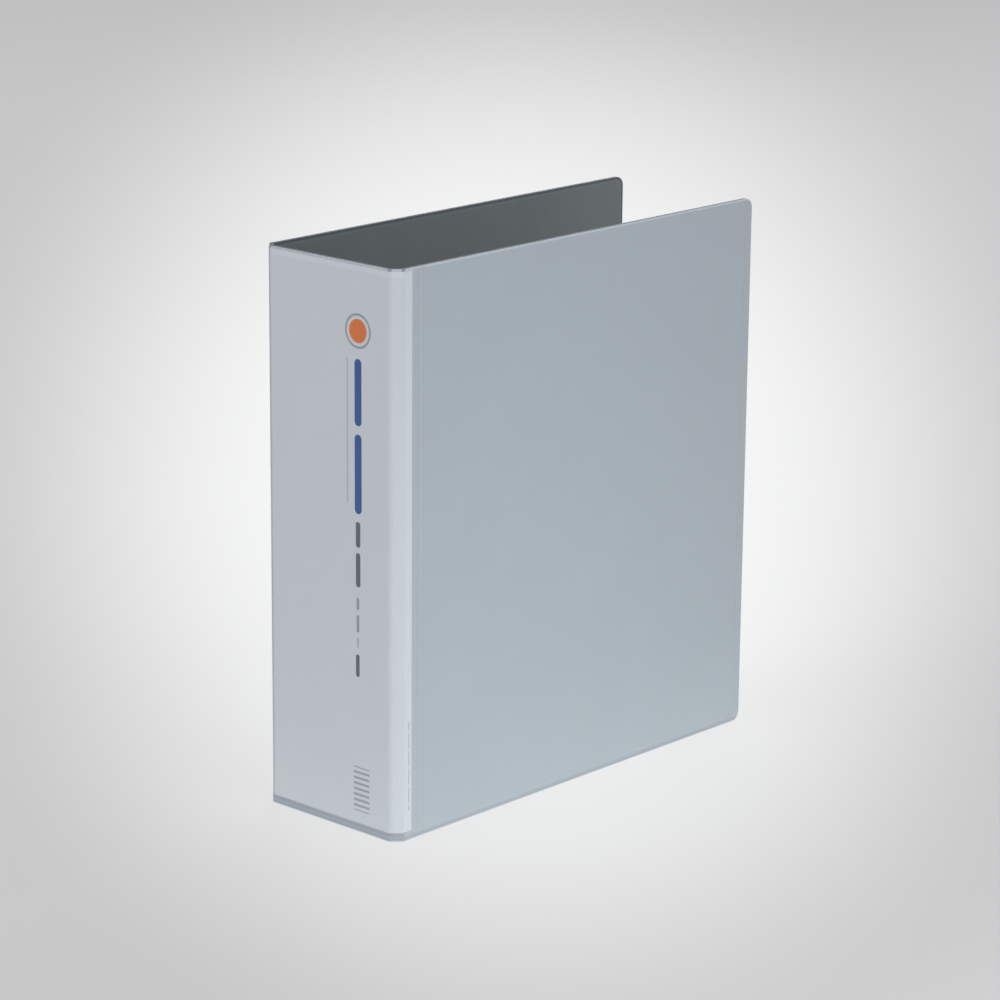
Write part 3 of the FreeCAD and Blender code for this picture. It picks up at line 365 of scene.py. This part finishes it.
def make_film(name, kind):
    """Clear film over the board: it mirrors the room faintly and has a slight haze. Where it is welded it is one
    with the board and shows the board's colour, with the welding tool's fine knurl."""
    t = Tree(name)
    geo = t.nt.nodes.new("ShaderNodeNewGeometry")
    front = t.sub(1.0, geo.outputs["Backfacing"])
    # each mask reaches half a millimetre past the weld, so that the step down to the pocket stays hidden
    if kind == "cover":
        foot = t.ramp(t.z, 5.05 * MM, 5.15 * MM, 1.0, 0.0)
        side = t.ramp(t.m("ABSOLUTE", t.add(t.y, 129.05 * MM)), 0.0020, 0.0021, 1.0, 0.0)
        edge = t.ramp(t.y, 141.3 * MM, 141.4 * MM)
        weld = t.most(side, edge, foot)
        knurl = t.most(t.ramp(t.m("ABSOLUTE", t.add(t.y, 129.05 * MM)), 0.0011, 0.0017, 1.0, 0.0), edge)
        footline = t.ramp(t.m("ABSOLUTE", t.sub(t.z, 4.4 * MM)), 0.0003, 0.0013, 1.0, 0.0)
        # on the covers, below about two millimetres, the tone is darker: painted shade along the bottom edge
        foot_tone = t.mix(t.ramp(t.z, 1.9 * MM, 3.0 * MM, 1.0, 0.0), (0.448, 0.505, 0.550), (0.395, 0.442, 0.484))
    else:
        foot = t.ramp(t.z, 4.35 * MM, 4.75 * MM, 1.0, 0.0)
        weld = foot
        knurl = t.near(t.z, -1.0, 0.001)
        footline = t.ramp(t.m("ABSOLUTE", t.sub(t.z, 2.5 * MM)), 0.0002, 0.0006, 1.0, 0.0)
        foot_tone = (0.365, 0.412, 0.456)
    dots = t.ramp(t.m("PINGPONG", t.add(t.z, t.mul(t.y, 0.5)), 0.65 * MM), 0.00012, 0.00042, 1.0, 0.0)
    ripple = t.noise(14.0, 2.0, 0.4, vec=t.scaled(1.0, 1.0, 0.55))
    fine = t.noise(900.0, 3.0, 0.6)
    round_off = t.bump(crease_round(t), 1.0, 1.0)
    # the clear part
    haze = t.mul(front, t.add(0.008, t.ramp(fine, 0.35, 0.75, 0.0, 0.010)))
    clear = t.nt.nodes.new("ShaderNodeBsdfTransparent")
    clear.inputs["Color"].default_value = (0.992, 0.994, 0.996, 1.0)
    normal = t.bump(t.add(t.mul(ripple, 1.2), t.mul(fine, 0.006)), 0.0009, 0.35, normal=round_off)
    gloss = t.nt.nodes.new("ShaderNodeBsdfGlossy")
    gloss.inputs["Color"].default_value = (1.0, 1.0, 1.0, 1.0)
    gloss.inputs["Roughness"].default_value = 0.12
    t.nt.links.new(normal, gloss.inputs["Normal"])
    fres = t.nt.nodes.new("ShaderNodeFresnel")
    fres.inputs["IOR"].default_value = 1.32
    # only the outer side of the thin sheet mirrors, or the straight rays inside it would reflect totally
    mirror = t.mul(fres.outputs[0], front)
    milk = t.nt.nodes.new("ShaderNodeBsdfDiffuse")
    milk.inputs["Color"].default_value = (0.90, 0.93, 0.96, 1.0)
    a = t.nt.nodes.new("ShaderNodeMixShader")
    t.nt.links.new(mirror, a.inputs[0])
    t.nt.links.new(clear.outputs[0], a.inputs[1])
    t.nt.links.new(gloss.outputs[0], a.inputs[2])
    b = t.nt.nodes.new("ShaderNodeMixShader")
    t.nt.links.new(haze, b.inputs[0])
    t.nt.links.new(a.outputs[0], b.inputs[1])
    t.nt.links.new(milk.outputs[0], b.inputs[2])
    # the welded part
    tone = t.shade(t.shade(WELD_BOARD, t.noise(22.0, 4.0, 0.6), 0.03), t.noise(900.0, 2.0, 0.5), 0.05)
    tone = t.mix(foot, tone, t.shade(foot_tone, t.noise(700.0, 2.0, 0.5), 0.06))
    tone = t.mix(t.mul(footline, 0.5), tone, (0.50, 0.555, 0.600))
    tone = t.mix(t.mul(t.mul(knurl, t.add(0.35, t.mul(dots, 0.65))), 0.18), tone, (0.56, 0.61, 0.655))
    press = t.bump(t.add(t.mul(t.mul(knurl, dots), 0.9), t.mul(fine, 0.2)), 0.00012, 0.8, normal=round_off)
    solid = t.surface(tone, 0.34, ior=1.49, normal=press, specular=0.45)
    # light reaches the board beside a weld as if the clear sheet went on, so no false dark line follows the weld
    path = t.nt.nodes.new("ShaderNodeLightPath")
    c = t.nt.nodes.new("ShaderNodeMixShader")
    passing = t.most(path.outputs["Is Shadow Ray"], path.outputs["Is Diffuse Ray"], path.outputs["Is Glossy Ray"])
    t.nt.links.new(t.mul(weld, t.sub(1.0, passing)), c.inputs[0])
    t.nt.links.new(b.outputs[0], c.inputs[1])
    t.nt.links.new(solid, c.inputs[2])
    return t.done(c.outputs[0])


def make_nickel(name, rough_lo, rough_hi, colour, grain=(1.0, 1.0, 1.0), amount=0.00002):
    """Plated steel: a slight unevenness, fine rubbed lines and small scuffs."""
    t = Tree(name)
    lines = t.noise(900.0, 4.0, 0.65, vec=t.scaled(*grain))
    cloud = t.noise(60.0, 3.0, 0.5)
    scuff = t.ramp(t.noise(240.0, 5.0, 0.7), 0.62, 0.72)
    base = t.shade(t.shade(colour, cloud, 0.03), lines, 0.05)
    base = t.mix(t.mul(scuff, 0.25), base, (0.46, 0.45, 0.43))
    rough = t.add(t.ramp(lines, 0.3, 0.7, rough_lo, rough_hi), t.mul(scuff, 0.12))
    bevel = t.nt.nodes.new("ShaderNodeBevel")
    bevel.samples = 4
    bevel.inputs["Radius"].default_value = 0.00035
    normal = t.bump(lines, amount, 0.6, normal=bevel.outputs[0])
    return t.done(t.surface(base, rough, metallic=1.0, normal=normal))


def make_black_plastic():
    t = Tree("cap_black_plastic")
    cells = t.cells(1900.0)
    fine = t.noise(1800.0, 3.0, 0.6)
    wear = t.ramp(t.noise(120.0, 4.0, 0.6), 0.58, 0.75)
    base = t.mix(t.mul(wear, 0.3), t.shade((0.018, 0.019, 0.020), fine, 0.2), (0.055, 0.056, 0.058))
    rough = t.ramp(fine, 0.3, 0.7, 0.34, 0.46)
    bevel = t.nt.nodes.new("ShaderNodeBevel")
    bevel.samples = 4
    bevel.inputs["Radius"].default_value = 0.0004
    normal = t.bump(t.add(cells, fine), 0.00004, 0.7, normal=bevel.outputs[0])
    return t.done(t.surface(base, rough, ior=1.5, normal=normal))


board = make_board()
web_light = make_web("crease_light", (0.47, 0.54, 0.60))
# painted shade: the web's inner faces and ends, seen down the crease gap, are coloured near-black
web_gap_shade = make_web("crease_gap_shade", (0.075, 0.085, 0.092))
paper = make_paper()
paper_spine = make_spine_paper()
paper_flap = make_flap_paper()
film_cover = make_film("film_cover_clear", "cover")
film_spine = make_film("film_spine_clear", "spine")
housing_metal = make_nickel("nickel_housing", 0.14, 0.24, (0.66, 0.65, 0.62), grain=(1.0, 1.0, 0.04))
plate_metal = make_nickel("steel_plate", 0.26, 0.40, (0.54, 0.54, 0.53), grain=(1.0, 1.0, 0.04), amount=0.00004)
wire_metal = make_nickel("nickel_wire", 0.10, 0.18, (0.68, 0.67, 0.64), grain=(0.3, 0.3, 0.3))
lever_metal = make_nickel("nickel_lever", 0.16, 0.26, (0.64, 0.63, 0.60), grain=(0.2, 1.0, 0.2))
rivet_metal = make_nickel("steel_rivet", 0.22, 0.34, (0.60, 0.60, 0.58))
cap_plastic = make_black_plastic()

for name, obj in nodes.items():
    if name in ("spine_panel", "front_cover", "back_cover", "front_hinge_strip", "back_hinge_strip"):
        mat = board
    elif name in ("film_front_cover", "film_back_cover"):
        mat = film_cover
    elif name.startswith("film_"):
        mat = film_spine
    elif name == "insert_spine":
        mat = paper_spine
    elif name == "insert_front_flap":
        mat = paper_flap
    elif name.startswith("insert_"):
        mat = paper
    elif name == "ring_housing":
        mat = housing_metal
    elif name.startswith("plate_"):
        mat = plate_metal
    elif "prong" in name:
        mat = wire_metal
    elif name.startswith("lever_cap"):
        mat = cap_plastic
    elif name.startswith("lever_pin") or name == "post_rivets":
        mat = rivet_metal
    else:
        mat = lever_metal
    obj.data.materials.clear()
    obj.data.materials.append(mat)


# ---------------------------------------------------------------- made pieces
def new_piece(name, bm, mats, smooth=True):
    bmesh.ops.recalc_face_normals(bm, faces=bm.faces)
    me = bpy.data.meshes.new(name)
    bm.to_mesh(me)
    bm.free()
    for mat in mats:
        me.materials.append(mat)
    me.polygons.foreach_set("use_smooth", [smooth] * len(me.polygons))
    obj = bpy.data.objects.new(name, me)
    bpy.context.scene.collection.objects.link(obj)
    return obj


def fold(name, crease, ta, na, tb, nb, reach, inner, outer, z0, z1, mats, outside_slot, inside_slot, steps=10, rows=24):
    """A thin band that runs along a crease: from reach along panel a, round the crease, to reach along panel b.
    inner and outer are its faces' heights over the panels' outer faces."""
    ta, na, tb, nb, c = (Vector((*v, 0.0)) for v in (ta, na, tb, nb, crease))

    def rail(height):
        a = c + ta * reach + na * height
        b = c + tb * reach + nb * height
        # where the two offset lines meet, softened by a quadratic curve
        bis = (na + nb)
        corner = c + bis * (height / bis.dot(na)) if abs(height) > 1e-9 else c.copy()
        pts = []
        for i in range(steps + 1):
            s = i / steps
            p = a * (1 - s) ** 2 + corner * 2 * s * (1 - s) + b * s ** 2
            pts.append(p)
        return pts

    top, low = rail(outer), rail(inner)
    bm = bmesh.new()
    grid_o, grid_i = [], []
    for r in range(rows + 1):
        z = z0 + (z1 - z0) * r / rows
        grid_o.append([bm.verts.new((p.x, p.y, z)) for p in top])
        grid_i.append([bm.verts.new((p.x, p.y, z)) for p in low])
    for r in range(rows):
        for i in range(steps):
            f = bm.faces.new((grid_o[r][i], grid_o[r][i + 1], grid_o[r + 1][i + 1], grid_o[r + 1][i]))
            f.material_index = outside_slot
            f = bm.faces.new((grid_i[r][i], grid_i[r + 1][i], grid_i[r + 1][i + 1], grid_i[r][i + 1]))
            f.material_index = inside_slot
        for i in (0, steps):
            f = bm.faces.new((grid_o[r][i], grid_o[r + 1][i], grid_i[r + 1][i], grid_i[r][i]))
            f.material_index = inside_slot
    for r in (0, rows):
        for i in range(steps):
            f = bm.faces.new((grid_o[r][i], grid_o[r][i + 1], grid_i[r][i + 1], grid_i[r][i]))
            f.material_index = inside_slot
    return new_piece(name, bm, mats, smooth=False)


S = math.sqrt(0.5)
CREASES = [
    # crease, along a, out of a, along b, out of b, body a, body b
    ((-X_OUT, CY), (0, 1), (-1, 0), (S, -S), (-S, -S), "back", "back_strip"),
    ((-CX, Y_OUT), (-S, S), (-S, -S), (1, 0), (0, -1), "back_strip", "spine"),
    ((CX, Y_OUT), (-1, 0), (0, -1), (S, S), (S, -S), "spine", "front_strip"),
    ((X_OUT, CY), (-S, -S), (S, -S), (0, 1), (1, 0), "front_strip", "front"),
]
for i, (c, ta, na, tb, nb, body_a, body_b) in enumerate(CREASES, start=1):
    web = fold(f"crease_web_{i}", c, ta, na, tb, nb, 1.0 * MM, -0.52 * MM, -0.05 * MM,
               0.5 * MM, Z_TOP - 0.5 * MM, [web_light, web_gap_shade], 0, 1)
    sheet = fold(f"insert_fold_{i}", c, ta, na, tb, nb, 0.6 * MM, 0.02 * MM, PAPER_OUT - 0.02 * MM,
                 paper_lo.z, paper_hi.z, [paper], 0, 0)
    skin = fold(f"film_fold_{i}", c, ta, na, tb, nb, 0.35 * MM, FILM_IN, FILM_OUT,
                film_lo.z, film_hi.z, [film_spine], 0, 0)
    for piece, slot_name, reach in ((web, "board", 0.6 * MM), (sheet, "insert", 0.5 * MM), (skin, "film", 0.34 * MM)):
        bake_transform(piece)


def make_knurl():
    t = Tree("weld_knurl")
    speck = t.noise(1500.0, 3.0, 0.6)
    base = t.shade((0.485, 0.542, 0.588), speck, 0.06)
    return t.done(t.surface(base, 0.32, ior=1.49, normal=t.bump(speck, 0.00002, 0.6), specular=0.45))


def knurl_row(name, sign, y, reach, z0, z1, body):
    """A row of small ridges left by the welding tool, each a low closed frustum sunk a little in the film."""
    pitch, hz, rise, sink = 1.3 * MM, 0.26 * MM, 0.05 * MM, 0.03 * MM
    x0 = sign * (X_OUT + FILM_OUT - sink)
    x1 = sign * (X_OUT + FILM_OUT + rise)
    bm = bmesh.new()
    count = int((z1 - z0) / pitch)
    for k in range(count + 1):
        z = z0 + k * pitch
        low = [bm.verts.new((x0, y + a * reach, z + b * hz)) for a, b in ((-1, -1), (1, -1), (1, 1), (-1, 1))]
        top = [bm.verts.new((x1, y + a * (reach - 0.2 * MM), z + b * hz * 0.45)) for a, b in ((-1, -1), (1, -1), (1, 1), (-1, 1))]
        bm.faces.new(low)
        bm.faces.new(top[::-1])
        for i in range(4):
            j = (i + 1) % 4
            bm.faces.new((low[i], top[i], top[j], low[j]))
    piece = new_piece(name, bm, [knurl_mat], smooth=False)
    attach(piece, body)
    return piece


knurl_mat = make_knurl()
for word, sign, body in (("front", 1, "front"), ("back", -1, "back")):
    knurl_row(f"weld_side_{word}", sign, -129.05 * MM, 1.35 * MM, 6.0 * MM, 315.5 * MM, body)
    knurl_row(f"weld_fore_{word}", sign, 144.7 * MM, 1.7 * MM, 9.0 * MM, 310.0 * MM, body)


# ---------------------------------------------------------------- floor, light, camera
def make_floor():
    t = Tree("studio_floor")
    # a pool of light on the floor, which widens away from the front of the set
    u = t.add(t.mul(t.x, 0.7364), t.mul(t.y, 0.6766))
    v = t.sub(t.mul(t.y, 0.7364), t.mul(t.x, 0.6766))
    reach = t.m("ABSOLUTE", t.add(v, 2.1875))
    a = t.m("DIVIDE", t.mul(u, 3.757), reach)
    b = t.m("DIVIDE", t.mul(t.sub(v, 0.567), 0.994), reach)
    d = t.m("SQRT", t.add(t.mul(a, a), t.mul(b, b)))
    glow = t.ramp(d, 0.20, 0.62, 1.0, 0.0)
    soft = t.noise(3.0, 2.0, 0.5)
    outer = t.ramp(d, 0.62, 2.2, 0.0, 1.0)
    col = t.mix(glow, (0.575, 0.568, 0.575), (0.905, 0.908, 0.905))
    col = t.mix(outer, col, (0.46, 0.46, 0.47))
    col = t.shade(col, soft, 0.006)
    # the floor glows with this colour: a painted pool of light, painted dimmer further out; the diffuse part below lets
    # real shade fall on it
    emit = t.nt.nodes.new("ShaderNodeEmission")
    t.nt.links.new(col, emit.inputs["Color"])
    emit.inputs["Strength"].default_value = 0.80
    diff = t.nt.nodes.new("ShaderNodeBsdfDiffuse")
    t.nt.links.new(t.mix(1.0, col, (0.30, 0.30, 0.30), mode="MULTIPLY"), diff.inputs["Color"])
    add = t.nt.nodes.new("ShaderNodeAddShader")
    t.nt.links.new(emit.outputs[0], add.inputs[0])
    t.nt.links.new(diff.outputs[0], add.inputs[1])
    return t.done(add.outputs[0])


bm = bmesh.new()
bmesh.ops.create_grid(bm, x_segments=8, y_segments=8, size=9.0)
floor = new_piece("studio_floor", bm, [make_floor()])
floor.location = (0.0, 0.0, -0.0002)

world = bpy.data.worlds.new("studio")
bpy.context.scene.world = world
world.use_nodes = True
bg = world.node_tree.nodes.get("Background")
bg.inputs["Color"].default_value = (0.93, 0.96, 1.0, 1.0)
bg.inputs["Strength"].default_value = 0.30


def area(name, direction, distance, size, power, colour=(1.0, 1.0, 1.0), facing=None):
    light = bpy.data.lights.new(name, "AREA")
    light.shape = "RECTANGLE"
    light.size, light.size_y = size
    light.energy = power
    light.color = colour
    obj = bpy.data.objects.new(name, light)
    bpy.context.scene.collection.objects.link(obj)
    d = Vector(direction).normalized()
    obj.location = Vector((0.0, 0.0, 0.16)) + d * distance
    obj.rotation_euler = (Vector(facing) if facing else d).to_track_quat("Z", "Y").to_euler()
    obj.visible_camera = False
    return obj


key = area("key_softbox", (0.65, -0.15, -0.09), 0.673, (0.5, 0.08), 1.30, facing=(0.97, -0.22, 0.02))
key.visible_glossy = False
area("high_softbox", (0.85, -0.25, 0.85), 2.6, (1.4, 1.4), 10.6)
area("fill_softbox", (-0.40, -1.0, 0.45), 2.4, (1.6, 1.2), 14.0)
area("top_softbox", (0.10, 0.10, 1.0), 2.6, (1.6, 1.6), 8.0)
area("rear_softbox", (-0.6, 1.0, 0.8), 3.0, (1.8, 1.4), 23.0)

cam_data = bpy.data.cameras.new("camera")
cam = bpy.data.objects.new("camera", cam_data)
bpy.context.scene.collection.objects.link(cam)
cam_data.sensor_width = 36.0
cam_data.lens = 130.454
cam_data.clip_end = 50.0
R = Vector((0.734819, 0.678213, 0.008236))
U = Vector((-0.185275, 0.189027, 0.964335))
B = Vector((0.652468, -0.710138, 0.264557))
cam.matrix_world = Matrix((
    (R.x, U.x, B.x, 1.344007),
    (R.y, U.y, B.y, -1.473711),
    (R.z, U.z, B.z, 0.702845),
    (0.0, 0.0, 0.0, 1.0),
))
bpy.context.scene.camera = cam
bpy.context.scene.view_settings.view_transform = "Standard"
bpy.context.scene.view_settings.look = "None"
